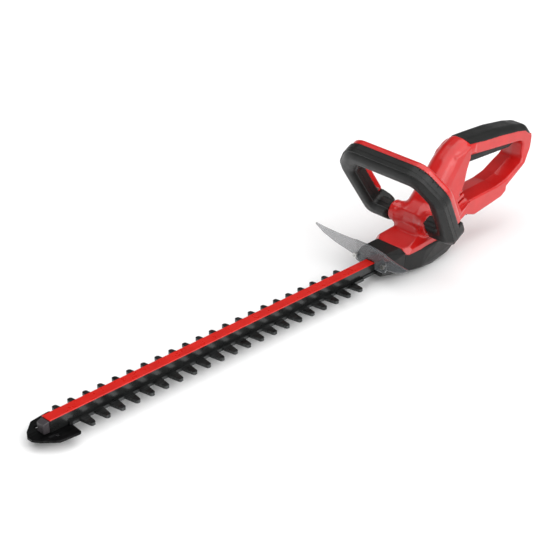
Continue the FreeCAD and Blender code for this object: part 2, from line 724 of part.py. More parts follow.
# ---- switch, board and battery seat in the rear handle
def rear_trigger():
    outline = [(-692, 96), (-786, 92.5), (-789, 96), (-795, 102), (trigger_hinge_x - 4, 107),
               (trigger_hinge_x, 111), (-780, 108), (-692, 119)]
    lever = side_plate(outline, [4, 3, 2, 3, 3.5, 3.5, 2, 2], -trigger_half_width, trigger_half_width)
    lever = lever.cut(side_plate([(-697, 104), (-775, 100), (-775, 120), (-697, 130)], 1,
                                 -trigger_half_width + 2, trigger_half_width - 2))
    return lever.cut(rod(2.06, V(trigger_hinge_x, -20, trigger_hinge_z),
                         V(trigger_hinge_x, 20, trigger_hinge_z)))


def rear_handle_parts():
    hinge = [V(trigger_hinge_x, y, trigger_hinge_z) 
             for y in (wall - handle_half_width, handle_half_width - wall)]
    pin = rod(2.0, hinge[0], hinge[1])
    coil = tube(3.6, 2.2, V(trigger_hinge_x, trigger_half_width + 0.4, trigger_hinge_z),
                V(trigger_hinge_x, trigger_half_width + 2.9, trigger_hinge_z))
    switch = block(-742, -710, -6, 6, 118.5, 124.5)
    board_x = -664.0
    board = block(board_x, board_x + 1.6, -14, 14, 52, 104)
    chips = [block(board_x + 1.6, board_x + 5, y, y + 7, z, z + 9)
             for y, z in ((-11, 58), (3, 60), (-9, 82))]
    slope = [(-688, 23.8), (-750, 31.6), (-750, 36), (-688, 30)]
    seat = side_plate(slope, 1, -battery_half_width + 0.1, battery_half_width - 0.1)
    rails = [side_plate([(-690, 20.5), (-748, 28), (-748, 33), (-690, 27)], 0, y, y + 3)
             for y in (-12.5, 9.5)]
    feet = [side_plate([(-690, 20.5), (-748, 28), (-748, 30), (-690, 22.5)], 0, y, y + 2.5)
            for y in (-9.6, 7.1)]
    seat = join([seat] + rails + feet)
    contacts = []
    for y in (-4.5, 0, 4.5):
        contact = block(-738, -722, y - 0.4, y + 0.4, 22.5, 40)
        seat = seat.cut(contact)
        contacts.append(contact)
    board_group = board.fuse(chips[0]).fuse(chips[1]).fuse(chips[2]).removeSplitter()
    return {"trigger_pin": pin, "trigger_spring": coil, "switch_module": switch,
            "control_board": board_group, "battery_seat": seat,
            "battery_contacts": group(contacts)}


def main():
    os.makedirs("parts", exist_ok=True)
    left, right, grip = housing()
    pieces = {
        "housing_left": left, "housing_right": right, "rear_grip": grip,
        "housing_screws": housing_screws(),
        "gear_case": gear_case(), "gear_plate": gear_plate(), "gear_case_screws": case_screws(),
        "axle_bearings": bearings(), "drive_gear": drive_gear(), "gear_axle": gear_axle(),
        "upper_eccentric": eccentric(1, 0.0), "lower_eccentric": eccentric(-1, lower_top_z),
        "upper_blade": blade(0.0), "lower_blade": blade(lower_top_z),
        "blade_rail": blade_rail(), "rail_cover": rail_cover(), "rail_end_cap": end_cap(),
        "tip_plate": tip_plate(), "blade_washers": washers(), "rail_nuts": nuts(),
        "blade_bolts": bolts(bolt_spots, lower_top_z - blade_thickness - blade_gap - 1.0),
        "tip_bolts": bolts(tip_screw_spots, tip_plate_top_z - tip_plate_thickness),
        "blade_nose": blade_nose(), "felt_seal": felt_seal(),
        "hand_guard": hand_guard(), "guard_screws": guard_screws(),
        "rear_trigger": rear_trigger(),
    }
    pieces.update(motor_parts())
    pieces.update(loop_handle())
    pieces.update(rear_handle_parts())
    for name, shape in pieces.items():
        write(name, shape)


main()
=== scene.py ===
import json
import math

import bmesh
import bpy
import numpy as np
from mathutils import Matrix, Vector


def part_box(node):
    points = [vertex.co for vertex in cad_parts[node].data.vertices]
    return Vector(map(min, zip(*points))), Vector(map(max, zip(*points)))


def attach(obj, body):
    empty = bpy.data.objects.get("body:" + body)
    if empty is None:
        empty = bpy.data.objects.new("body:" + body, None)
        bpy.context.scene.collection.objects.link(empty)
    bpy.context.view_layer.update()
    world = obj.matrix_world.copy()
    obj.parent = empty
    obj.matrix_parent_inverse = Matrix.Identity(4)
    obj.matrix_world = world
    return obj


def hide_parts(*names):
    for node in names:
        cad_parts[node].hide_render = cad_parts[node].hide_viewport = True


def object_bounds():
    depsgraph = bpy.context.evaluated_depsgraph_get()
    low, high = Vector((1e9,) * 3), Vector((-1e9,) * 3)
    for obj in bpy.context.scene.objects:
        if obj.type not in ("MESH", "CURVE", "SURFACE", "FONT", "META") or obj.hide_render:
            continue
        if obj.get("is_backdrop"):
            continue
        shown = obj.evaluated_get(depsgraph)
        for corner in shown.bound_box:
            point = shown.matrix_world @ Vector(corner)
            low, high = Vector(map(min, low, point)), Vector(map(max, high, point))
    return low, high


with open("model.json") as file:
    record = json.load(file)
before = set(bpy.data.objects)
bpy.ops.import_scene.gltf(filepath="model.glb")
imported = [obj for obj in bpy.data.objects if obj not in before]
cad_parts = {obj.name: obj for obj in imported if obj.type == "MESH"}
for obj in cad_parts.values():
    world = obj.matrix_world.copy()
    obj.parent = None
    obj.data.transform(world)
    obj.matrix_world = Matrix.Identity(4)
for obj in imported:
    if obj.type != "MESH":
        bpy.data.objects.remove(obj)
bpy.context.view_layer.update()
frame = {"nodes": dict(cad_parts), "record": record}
print("frame loaded")

# Shapes below are in millimetres from a datum on the top face of the upper blade, in line with the first
# teeth, with x along the bar to its tip, y to the left and z up.
mm = 0.001
capFront = 31
datum = np.array([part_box("rail_end_cap")[1].x - capFront * mm, 0.0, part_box("upper_blade")[1].z])


# Meshes.
def newPiece(name, points, faces, material, body, stands=(), sharp=32):
    # points: n x 3 array in mm from the datum; faces: rows of corner numbers, all of one length
    mesh = bpy.data.meshes.new(name)
    mesh.vertices.add(len(points))
    mesh.vertices.foreach_set("co", (points * mm + datum).astype(np.float32).ravel())
    mesh.loops.add(faces.size)
    mesh.loops.foreach_set("vertex_index", faces.astype(np.int32).ravel())
    mesh.polygons.add(len(faces))
    mesh.polygons.foreach_set("loop_start", np.arange(0, faces.size, faces.shape[1], dtype=np.int32))
    mesh.polygons.foreach_set("use_smooth", np.ones(len(faces), bool))
    mesh.update(calc_edges=True)
    mesh.set_sharp_from_angle(angle=math.radians(sharp))
    return enlist(bpy.data.objects.new(name, mesh), material, body, stands)


def enlist(piece, material, body, stands=()):
    if piece.name not in bpy.context.scene.collection.objects:
        bpy.context.scene.collection.objects.link(piece)
    piece.data.materials.clear()
    piece.data.materials.append(material)
    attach(piece, body)
    if stands:
        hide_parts(*stands)
    return piece


def modify(piece, kind, **settings):
    modifier = piece.modifiers.new(kind.title(), kind)
    for key, value in settings.items():
        setattr(modifier, key, value)
    return modifier


def roundEdges(piece, width, segments, angle):
    modify(piece, "BEVEL", width=width * mm, segments=segments, limit_method="ANGLE",
           angle_limit=math.radians(angle), harden_normals=True)


# Outlines and distances.
def rounded(points, radii, steps=7):
    # closed outline whose corners are arcs: each arc touches its corner's two sides, at
    # radius / tan(half the corner's angle)
    points = [np.array(p, float) for p in points]
    made = []
    for i, here in enumerate(points):
        before, after = points[i - 1] - here, points[(i + 1) % len(points)] - here
        before, after = before / np.linalg.norm(before), after / np.linalg.norm(after)
        radius = radii[i] if np.ndim(radii) else radii
        half = math.acos(np.clip(before @ after, -1, 1)) / 2
        if radius < 0.01 or half > 1.56:
            made.append(here[None])
            continue
        centre = here + (before + after) / np.linalg.norm(before + after) * radius / math.sin(half)
        start, end = here + before * radius / math.tan(half), here + after * radius / math.tan(half)
        turn = np.linspace(0, 1, steps)[:, None]
        spoke = (start - centre) * (1 - turn) + (end - centre) * turn
        made.append(centre + spoke / np.linalg.norm(spoke, axis=1)[:, None] * radius)
    return np.concatenate(made)


def outlineGap(outline, u, v):
    # signed distance from (u, v) to a closed outline, below zero inside: the nearest side's distance, with
    # its sign from the number of sides crossed by a ray along u
    best = np.full(np.broadcast(u, v).shape, 1e9)
    inside = np.zeros(best.shape, bool)
    for (au, av), (bu, bv) in zip(outline, np.roll(outline, -1, axis=0)):
        du, dv = bu - au, bv - av
        t = np.clip(((u - au) * du + (v - av) * dv) / max(du * du + dv * dv, 1e-12), 0, 1)
        best = np.minimum(best, (u - au - t * du) ** 2 + (v - av - t * dv) ** 2)
        if dv:
            inside ^= ((v < av) != (v < bv)) & (u < du * (v - av) / dv + au)
    return np.sqrt(best) * np.where(inside, -1, 1)


def chainGap(chain, u, v, w, squash=1.0):
    # distance to a tube through (u, v, radius) stations in the plane w = 0, squashed across it
    best = np.full(np.broadcast(u, v, w).shape, 1e9)
    for (au, av, ar), (bu, bv, br) in zip(chain, chain[1:]):
        du, dv = bu - au, bv - av
        t = np.clip(((u - au) * du + (v - av) * dv) / (du * du + dv * dv), 0, 1)
        away = np.sqrt((u - au - t * du) ** 2 + (v - av - t * dv) ** 2 + (w * squash) ** 2)
        best = np.minimum(best, away - ar - t * (br - ar))
    return best


def meld(a, b, width):
    # smaller of two distances, with the corner between them filled over the given width
    mix = np.clip(0.5 + 0.5 * (b - a) / width, 0, 1)
    return b * (1 - mix) + a * mix - width * mix * (1 - mix)


def trim(a, b, width=0.01):
    # larger of two distances, with the edge between them rounded off over the given width
    return -meld(-a, -b, width)


def netOf(field, low, high, step):
    # Skin of a field in space, where it changes sign. Each cell that the skin crosses gets a point at the
    # mean of its crossed edges, each crossed grid edge gets a face between its four cells, and the points
    # then move onto the field's zero by value / slope, along the slope.
    axes = [np.arange(a, b + step, step) for a, b in zip(low, high)]
    value = field(axes[0][:, None, None], axes[1][None, :, None], axes[2][None, None, :])
    size = np.array(value.shape)
    hits, centre = np.zeros(size - 1), np.zeros((*(size - 1), 3))
    for axis in range(3):
        side, up = (axis + 1) % 3, (axis + 2) % 3
        for i in (0, 1):
            for j in (0, 1):
                first, second = [slice(0, -1)] * 3, [slice(0, -1)] * 3
                first[side] = second[side] = slice(i, size[side] - 1 + i)
                first[up] = second[up] = slice(j, size[up] - 1 + j)
                second[axis] = slice(1, size[axis])
                a, b = value[tuple(first)], value[tuple(second)]
                crossed = (a < 0) != (b < 0)
                hits += crossed
                centre[..., axis] += np.where(crossed, a / np.where(crossed, a - b, 1), 0)
                centre[..., side] += crossed * i
                centre[..., up] += crossed * j
    cells = np.argwhere(hits > 0)
    number = np.full(size - 1, -1)
    number[tuple(cells.T)] = np.arange(len(cells))
    spot = tuple(cells.T)
    points = (cells + centre[spot] / hits[spot][:, None]) * step + np.array([a[0] for a in axes])
    faces = []
    for axis in range(3):
        side, up = (axis + 1) % 3, (axis + 2) % 3
        a = np.take(value, range(size[axis] - 1), axis)
        b = np.take(value, range(1, size[axis]), axis)
        at = np.argwhere((a < 0) != (b < 0))
        at = at[(at[:, side] > 0) & (at[:, side] < size[side] - 1)]
        at = at[(at[:, up] > 0) & (at[:, up] < size[up] - 1)]
        stepSide, stepUp = np.eye(3, dtype=int)[side], np.eye(3, dtype=int)[up]
        ring = [number[tuple((at - s).T)] for s in (0 * stepSide, stepSide, stepSide + stepUp, stepUp)]
        quads = np.stack(ring, 1)
        out = (a[tuple(at.T)] < 0)[:, None]
        faces.append(np.where(out, quads, quads[:, ::-1]))
    probe = 0.05
    for _ in range(3):
        x, y, z = points.T
        slope = np.stack([field(x + probe, y, z) - field(x - probe, y, z),
                          field(x, y + probe, z) - field(x, y - probe, z),
                          field(x, y, z + probe) - field(x, y, z - probe)], 1) / (2 * probe)
        move = field(x, y, z) / np.maximum((slope ** 2).sum(1), 0.1)
        points = points - np.clip(move, -0.5 * step, 0.5 * step)[:, None] * slope
    return points, np.concatenate(faces)


def outward(piece):
    shape = bmesh.new()
    shape.from_mesh(piece.data)
    bmesh.ops.remove_doubles(shape, verts=shape.verts, dist=1e-6)
    bmesh.ops.recalc_face_normals(shape, faces=shape.faces)
    shape.to_mesh(piece.data)
    shape.free()
    return piece


# Finishes.
class Wire:
    # a node's output; arithmetic on it adds Math nodes
    def __init__(self, finish, socket):
        self.finish = finish
        self.socket = socket

    def maths(self, operation, a, b):
        return self.finish.node("ShaderNodeMath", {"operation": operation}, {0: a, 1: b})

    def __add__(self, other):
        return self.maths("ADD", self, other)

    def __radd__(self, other):
        return self.maths("ADD", other, self)

    def __sub__(self, other):
        return self.maths("SUBTRACT", self, other)

    def __rsub__(self, other):
        return self.maths("SUBTRACT", other, self)

    def __mul__(self, other):
        return self.maths("MULTIPLY", self, other)

    def __rmul__(self, other):
        return self.maths("MULTIPLY", other, self)


class Finish:
    # a material on the Principled shader; named settings go on the shader's own sockets
    def __init__(self, name, **settings):
        self.material = bpy.data.materials.new(name)
        self.material.use_nodes = True
        self.tree = self.material.node_tree
        self.shader = self.tree.nodes["Principled BSDF"]
        for key, value in settings.items():
            self.feed(self.shader.inputs[key.replace("_", " ")], value)
        self.place = self.node("ShaderNodeTexCoord", out="Object")

    def feed(self, socket, value):
        if isinstance(value, Wire):
            self.tree.links.new(value.socket, socket)
        elif socket.type == "RGBA" and len(value) == 3:
            socket.default_value = (*value, 1)
        else:
            socket.default_value = value

    def node(self, kind, settings=None, sockets=None, out=0):
        made = self.tree.nodes.new(kind)
        for key, value in (settings or {}).items():
            if key == "stops":
                ramp = made.color_ramp
                while len(ramp.elements) < len(value):
                    ramp.elements.new(0.5)
                for element, (spot, colour) in zip(ramp.elements, value):
                    element.position, element.color = spot, (*colour, 1)
            else:
                setattr(made, key, value)
        for key, value in (sockets or {}).items():
            self.feed(made.inputs[key], value)
        return Wire(self, made.outputs[out])

    def noise(self, scale, detail=3.0, roughness=0.5):
        return self.node("ShaderNodeTexNoise", {}, {"Vector": self.place, "Scale": scale, "Detail": detail,
                                                    "Roughness": roughness}, "Fac")

    def stretched(self, scale, stretch):
        place = self.node("ShaderNodeMapping", {}, {"Vector": self.place, "Scale": stretch})
        return self.node("ShaderNodeTexNoise", {}, {"Vector": place, "Scale": scale, "Detail": 4.0}, "Fac")

    def range(self, wire, low, high, fromLow=0.3, fromHigh=0.7):
        return self.node("ShaderNodeMapRange", {}, {"Value": wire, "From Min": fromLow, "From Max": fromHigh,
                                                    "To Min": low, "To Max": high})

    def between(self, share, first, second):
        return self.node("ShaderNodeMix", {"data_type": "RGBA"}, {"Factor": share, 6: first, 7: second}, 2)

    def relief(self, height, strength, distance):
        bump = self.node("ShaderNodeBump", {}, {"Height": height, "Strength": strength,
                                                "Distance": distance * mm})
        self.feed(self.shader.inputs["Normal"], bump)

    def varies(self, name, wire):
        self.feed(self.shader.inputs[name], wire)


def mouldedPlastic(name, look):
    # two close colours in slow clouds, a fine moulding grain, and gloss that drifts a little
    made = Finish(name, Coat_Weight=look["coat"], Coat_Roughness=0.12,
                  Specular_IOR_Level=look.get("shine", 0.5))
    made.varies("Base Color", made.between(made.range(made.noise(38), 0, 1), look["dark"], look["light"]))
    made.varies("Roughness", made.range(made.noise(120), look["rough"] - 0.05, look["rough"] + 0.06))
    made.relief(made.noise(look["grain"], 2), look["relief"], 0.12)
    return made.material


def metal(name, look):
    # brushed or ground metal: streaks along one way, spots of oil or wear
    made = Finish(name, Metallic=1.0)
    streaks = made.stretched(look["streak"], look["along"])
    made.varies("Base Color", made.between(made.range(streaks, 0, 1), look["dark"], look["light"]))
    made.varies("Roughness", made.range(made.noise(90) + 0.35 * (streaks - 0.5), look["rough"] - 0.08,
                                        look["rough"] + 0.12))
    made.relief(streaks, look["relief"], 0.05)
    return made.material


plastics = {
    "redPlastic": {"dark": (0.47, 0.006, 0.005), "light": (0.56, 0.009, 0.008), "rough": 0.33, "coat": 0.45,
                   "grain": 1500, "relief": 0.10},
    "redPaint": {"dark": (0.52, 0.008, 0.004), "light": (0.62, 0.012, 0.006), "rough": 0.30, "coat": 0.3,
                 "grain": 700, "relief": 0.12},
    "blackPlastic": {"dark": (0.005, 0.0055, 0.0055), "light": (0.010, 0.0105, 0.010), "rough": 0.40,
                     "coat": 0.0, "shine": 0.32, "grain": 1400, "relief": 0.35},
    "softGrip": {"dark": (0.004, 0.0045, 0.0045), "light": (0.008, 0.0085, 0.008), "rough": 0.46,
                 "coat": 0.0, "shine": 0.3, "grain": 1100, "relief": 0.5},
    "greyCap": {"dark": (0.026, 0.022, 0.025), "light": (0.042, 0.036, 0.040), "rough": 0.42, "coat": 0.1,
                "grain": 1200, "relief": 0.3},
    "boardGreen": {"dark": (0.01, 0.10, 0.04), "light": (0.02, 0.16, 0.06), "rough": 0.4, "coat": 0.3,
                   "grain": 900, "relief": 0.2},
    "magnet": {"dark": (0.03, 0.03, 0.032), "light": (0.06, 0.06, 0.062), "rough": 0.6, "coat": 0.0,
               "grain": 500, "relief": 0.4},
    "felt": {"dark": (0.10, 0.085, 0.06), "light": (0.19, 0.16, 0.12), "rough": 0.92, "coat": 0.0,
             "grain": 900, "relief": 1.0},
}
metals = {
    "bladeSteel": {"dark": (0.035, 0.037, 0.037), "light": (0.10, 0.105, 0.105), "rough": 0.34, "streak": 60,
                   "along": (1, 14, 1), "relief": 0.25},
    "blackSteel": {"dark": (0.006, 0.006, 0.0065), "light": (0.025, 0.025, 0.026), "rough": 0.36,
                   "streak": 40, "along": (1, 10, 1), "relief": 0.2},
    "zinc": {"dark": (0.42, 0.42, 0.41), "light": (0.72, 0.72, 0.69), "rough": 0.30, "streak": 160,
             "along": (1, 6, 6), "relief": 0.2},
    "gearSteel": {"dark": (0.26, 0.26, 0.27), "light": (0.48, 0.48, 0.48), "rough": 0.28, "streak": 120,
                  "along": (8, 1, 1), "relief": 0.2},
    "castMetal": {"dark": (0.44, 0.44, 0.45), "light": (0.62, 0.62, 0.62), "rough": 0.48, "streak": 400,
                  "along": (1, 1, 1), "relief": 0.6},
    "bronze": {"dark": (0.36, 0.22, 0.09), "light": (0.55, 0.36, 0.16), "rough": 0.36, "streak": 200,
               "along": (1, 1, 6), "relief": 0.3},
    "copper": {"dark": (0.46, 0.18, 0.08), "light": (0.68, 0.33, 0.17), "rough": 0.32, "streak": 300,
               "along": (1, 1, 20), "relief": 0.4},
}
finishes = {name: mouldedPlastic(name, look) for name, look in plastics.items()}
finishes.update({name: metal(name, look) for name, look in metals.items()})


def toppedPaint():
    # red lacquer over the top of a black bar: the join is a fine line along each long edge
    red, dark = plastics["redPaint"], plastics["blackPlastic"]
    made = Finish("toppedPaint", Coat_Weight=red["coat"], Coat_Roughness=0.12)
    height = made.node("ShaderNodeSeparateXYZ", {}, {0: made.place}, "Z")
    top = made.range(height, 0, 1, float(datum[2]) + 0.0110, float(datum[2]) + 0.0112)
    cloud = made.range(made.noise(38), 0, 1)
    made.varies("Base Color", made.between(top, made.between(cloud, dark["dark"], dark["light"]),
                                           made.between(cloud, red["dark"], red["light"])))
    made.varies("Roughness", made.range(made.noise(120), red["rough"] - 0.05, red["rough"] + 0.06))
    made.relief(made.noise(red["grain"], 2), red["relief"], 0.12)
    return made.material


def smokedSheet():
    # clear sheet with a grey tint: denser where it is seen edge on, faint scuffs in its gloss
    made = Finish("smokedSheet", IOR=1.5, Base_Color=(0.16, 0.17, 0.18), Coat_Weight=0.5,
                  Coat_Roughness=0.05)
    glance = made.node("ShaderNodeLayerWeight", {}, {"Blend": 0.35}, "Facing")
    made.varies("Alpha", made.range(glance, 0.34, 0.90, 0.0, 0.9))
    made.varies("Roughness", made.range(made.noise(70), 0.10, 0.24))
    made.relief(made.noise(25, 1), 0.05, 0.3)
    return made.material


finishes["smokedSheet"], finishes["toppedPaint"] = smokedSheet(), toppedPaint()
slotFinish = {"red_plastic": "redPlastic", "red_paint": "redPaint", "black_plastic": "blackPlastic",
              "soft_grip": "softGrip", "clear_guard": "smokedSheet", "blade_steel": "bladeSteel",
              "black_steel": "blackSteel", "grey_cap": "greyCap", "zinc": "zinc", "gear_steel": "gearSteel",
              "cast_metal": "castMetal", "bronze": "bronze", "copper": "copper", "magnet": "magnet",
              "board_green": "boardGreen", "felt": "felt"}
nodeSlot = {part["node"]: part["material_slot"] for part in frame["record"]["subparts"]}
nodeBody = {node: body for body, nodes in frame["record"]["behaviour"]["bodies"].items() for node in nodes}
for name, node in frame["nodes"].items():
    node.data.materials.clear()
    node.data.materials.append(finishes[slotFinish[nodeSlot[name]]])
print("finishes made")


# Red housing: body gives its outlines, as (x, z) corners with a radius for each, its half widths at given
# heights, the hand hole, the sockets for the front loop and the vents. Change them here.
body = {
    "front": [(-577, 17), (-577, 27), (-582.5, 40), (-584.5, 57.5), (-602, 66.5), (-623, 93), (-642, 115),
              (-660, 129), (-678, 136), (-704, 134), (-704, 60), (-650, 17)],
    "frontRounds": [0, 2, 8, 2.5, 14, 30, 30, 24, 12, 4, 4, 4],
    "halfAt": [17, 45, 60, 90, 125], "half": [26.5, 26.5, 24.5, 21.5, 20.5],
    "tubeRound": [11, 12, 16, 17, 17],
    "back": [(-655, 119.5), (-674, 125.5), (-686, 129), (-713, 129), (-749, 126), (-786, 121), (-807, 116.5),
             (-820, 104), (-817.5, 82), (-802, 65), (-764, 43), (-763, 36), (-753, 30), (-696, 22),
             (-678, 28.5), (-664, 22), (-630, 22), (-632, 60), (-638, 83), (-642.5, 99.5)],
    "backRounds": [1, 1, 3, 30, 60, 40, 8, 12, 12, 8, 2, 3, 4, 4, 4, 1, 1, 30, 20, 20], "sideRound": 2.4,
    "flankHalf": 22.0, "railHalf": 18.0, "crease": ((-675, 127), (-639, 83)), "creaseSlope": 0.34,
    "hole": [(-684, 111), (-677.5, 95), (-671, 68), (-680, 50), (-741, 52), (-762, 56), (-796, 72),
             (-799, 98)],
    "holeRounds": [3, 30, 10, 8, 12, 12, 9, 7], "holeDraft": 0.10, "holeBevel": 1.6,
    "socket": (-592, 47.5), "socketAt": [8, 24, 31], "socketRadius": [6, 13.8, 14.4], "socketEnd": 32.0,
    "apronFloor": 16.0,
    "vent": {"patch": [(-669, 79), (-654, 57), (-661, 41), (-684, 46), (-682, 62)], "slope": 0.06,
             "slots": [((-672, 72), (-660, 67)), ((-676, 65), (-655, 59.5)), ((-680, 57), (-658, 50))],
             "radius": 2.0, "depth": 8.0},
}
fineStep = 1.0
grip = {"half": 18.4, "round": 11.0,
        "outline": [(-640, 100), (-640, 136), (-674, 135.8), (-702, 134.6), (-745, 131.8), (-785, 125.5),
                    (-810, 119), (-822.5, 103), (-818, 84), (-780, 84), (-700, 100)],
        "rounds": [0, 10, 30, 60, 90, 60, 17, 10, 6, 6, 6], "ring": ((-685, 128), (-678.5, 137)),
        "line": [(-640, 128), (-684, 129), (-713, 125), (-749, 121.8), (-786, 116.5), (-803, 112.5),
                 (-812, 105.5), (-840, 99), (-840, 160), (-640, 160)]}


def gripAhead(x, z):
    # distance in front of the grip's ring
    (ax, az), (bx, bz) = grip["ring"]
    return ((x - ax) * (bz - az) - (z - az) * (bx - ax)) / math.hypot(bx - ax, bz - az)


def flankHalf(x, z):
    # half width of the flank: flat behind the crease, falling away in front of it; the grip rail is narrower
    (ax, az), (bx, bz) = body["crease"]
    ahead = ((x - ax) * (az - bz) + (z - az) * (bx - ax)) / math.hypot(bx - ax, bz - az)
    high = np.clip((z - 62) / 22, 0, 1)
    behind = np.clip((-680.5 - x) / 2.5, 0, 1)
    share = high * high * (3 - 2 * high) * behind
    full = body["flankHalf"] + (body["railHalf"] - body["flankHalf"]) * share
    return full - body["creaseSlope"] * np.maximum(ahead, 0)


def eased(a, b, radius):
    # larger of two distances with a quarter round of the given radius along the edge between them
    corner = np.hypot(np.maximum(a + radius, 0), np.maximum(b + radius, 0))
    return np.minimum(np.maximum(a, b), -radius) + corner


def flatBounded(planes, x, side, z, width):
    # space under every plane, each given by its normal and a point on it
    best = -1e9
    for normal, at in planes:
        normal = np.array(normal, float) / np.linalg.norm(normal)
        gap = normal[0] * (x - at[0]) + normal[1] * (side - at[1]) + normal[2] * (z - at[2])
        best = trim(best, gap, width) if np.ndim(best) else gap
    return best


apronPlanes = [((0.24, 0, 0.97), (-549, 0, 23.5)), ((0.94, 0.1, 0.3), (-546.5, 0, 22)),
               ((0.55, 0.60, 0.58), (-552, 24, 23)), ((0.06, 0.62, 0.78), (-590, 30, 25)),
               ((-0.3, 0.6, 0.74), (-613, 31, 22)), ((0, 1, 0), (-580, 30.5, 22)),
               ((-1, 0, 0), (-640, 0, 30))]
frontOutline = rounded(body["front"], body["frontRounds"])
rearOutline = rounded(body["back"], body["backRounds"])
holeOutline = rounded(body["hole"], body["holeRounds"])


def housingField(x, y, z):
    # round-fronted neck, its sockets and the low apron, melded with the flat flanked back; then the hand
    # hole and the vents taken out
    side = np.abs(y)
    half = np.interp(z, body["halfAt"], body["half"])
    tubeRound = np.interp(z, body["halfAt"], body["tubeRound"])
    front = eased(outlineGap(frontOutline, x, z), side - half, tubeRound)
    sx, sz = body["socket"]
    radius = np.interp(side, body["socketAt"], body["socketRadius"])
    socket = trim(np.hypot(x - sx, z - sz) - radius, side - body["socketEnd"], 2.0)
    whole = meld(meld(front, socket, 9), flatBounded(apronPlanes, x, side, z, 0.6), 2.0)
    flank = side - flankHalf(x, z)
    vent = body["vent"]
    patch = outlineGap(np.array(vent["patch"], float), x, z)
    slab = eased(outlineGap(rearOutline, x, z), flank, body["sideRound"])
    whole = meld(whole, slab, 1.2)
    whole = trim(whole, np.minimum(-patch, side - flankHalf(x, z) + 1.3 + vent["slope"] * (-656 - x)), 0.6)
    for (ax, az), (bx, bz) in vent["slots"]:
        slot = chainGap([(ax, az, vent["radius"]), (bx, bz, vent["radius"])], x, z, 0 * side)
        whole = trim(whole, -trim(slot, vent["depth"] - side), 0.5)
    hole = outlineGap(holeOutline, x, z) - body["holeDraft"] * side
    whole = trim(whole, -hole, 0.6)
    whole = trim(whole, (flank + body["holeBevel"] - hole) * 0.7071, 0.8)
    under = trim(outlineGap(np.array(grip["line"], float), x, z), gripAhead(x, z))
    whole = trim(whole, -trim(under + 0.6, side - 30), 0.4)
    return trim(whole, body["apronFloor"] - z, 0.6)


points, faces = netOf(housingField, (-826, -38, 13), (-542, 38, 142), fineStep)
housing = newPiece("redHousing", points, faces, finishes["redPlastic"], "housing",
                   ("housing_left", "housing_right", "housing_screws"), 40)
print("red housing", len(faces))


# Soft grip over the rear handle.
def gripField(x, y, z):
    # a round-edged bar along the top of the handle, above its lower line and behind its ring
    side = np.abs(y)
    outline = rounded(grip["outline"], grip["rounds"])
    over = eased(outlineGap(outline, x, z), side - grip["half"], grip["round"])
    below = outlineGap(np.array(grip["line"], float), x, z)
    return trim(trim(over, below, 0.8), gripAhead(x, z), 0.8)


points, faces = netOf(gripField, (-826, -26, 95), (-670, 26, 142), fineStep)
newPiece("softGrip", points, faces, finishes["softGrip"], "housing", ("rear_grip",), 40)
print("grip", len(faces))

# Front loop handle and its switch lever, drawn upright as distances out (towards the bar), y and up, and
# then leaned forward. line is the band's middle line, as (y, up); the others are distances out or up.
loop = {"line": [(31.2, 0), (67, 0), (76.5, 77), (55, 107.5)], "outer": [17, 30, 32], "inner": [5, 10, 10],
        "seat": (-591, 48), "tilt": 29.5, "half": 13.5, "front": 15.0, "seam": 4.0, "back": -8.0,
        "frontRound": 11.5, "backRound": 5.0, "grooveFloor": -0.8, "grooveLow": 15.5,
        "cheekBack": -15.5, "cheekHigh": 15.0, "cheekAt": 40.0,
        "leverBack": -15.0, "leverFront": -6.0, "leverHalf": 11.5, "leverLow": 17.0}


def bandOutline(half):
    # outline of the loop's band: its middle line moved out and in by half its width, corners mitred
    right = np.array(loop["line"], float)
    line = np.concatenate([right, right[::-1] * (-1, 1)])
    along = np.diff(line, axis=0)
    along /= np.linalg.norm(along, axis=1)[:, None]
    sides = np.stack([along[:, 1], -along[:, 0]], 1)
    total = sides[1:] + sides[:-1]
    mitre = total * (2 / (total ** 2).sum(1))[:, None]
    step = np.concatenate([sides[:1], mitre, sides[-1:]]) * half
    share = half / loop["half"]
    outer, inner = [r * share for r in loop["outer"]], [r / share for r in loop["inner"]]
    rounds = [0, *outer, *outer[::-1], 0, 0, *inner, *inner[::-1], 0]
    return rounded(np.concatenate([line + step, (line - step)[::-1]]), rounds, 9)


def leaned(points):
    # (out, y, up) of the upright handle turned forward about its arms
    tilt = math.radians(loop["tilt"])
    out, y, up = points.T
    x = loop["seat"][0] + up * math.sin(tilt) + out * math.cos(tilt)
    z = loop["seat"][1] + up * math.cos(tilt) - out * math.sin(tilt)
    return np.stack([x, y, z], 1)


grooveOutline = bandOutline(loop["leverHalf"] + 0.7)


def bandPiece(name, half, low, high, lowRound, highRound, finish, body, stands, above=-200.0,
              cheek=None):
    # band between two distances out, its edges rounded by one radius at the back and another at the front;
    # a cheek is the same band reaching further back, low down and outboard only
    outline = bandOutline(half)
    middle = (low + high) / 2

    def field(out, y, up):
        gap = outlineGap(outline, y, up)
        band = trim(gap, above - up, 2.5)
        back, front = eased(band, low - out, lowRound), eased(band, out - high, highRound)
        whole = np.where(out < middle, back, front)
        if cheek is None:
            return whole
        groove = trim(outlineGap(grooveOutline, y, up), out - loop["grooveFloor"])
        whole = trim(whole, -trim(groove, loop["grooveLow"] - up), 0.6)
        lowDown = trim(gap, up - loop["cheekHigh"], 2.5)
        rear = eased(trim(lowDown, loop["cheekAt"] - np.abs(y), 16), cheek - out, 5.0)
        return np.minimum(whole, trim(rear, out - middle))

    reach = low if cheek is None else cheek
    points, faces = netOf(field, (reach - 3, -98, max(-18, above - 4)), (high + 3, 98, 125), fineStep)
    newPiece(name, leaned(points), faces, finishes[finish], body, stands, 40)
    print(name, len(faces))


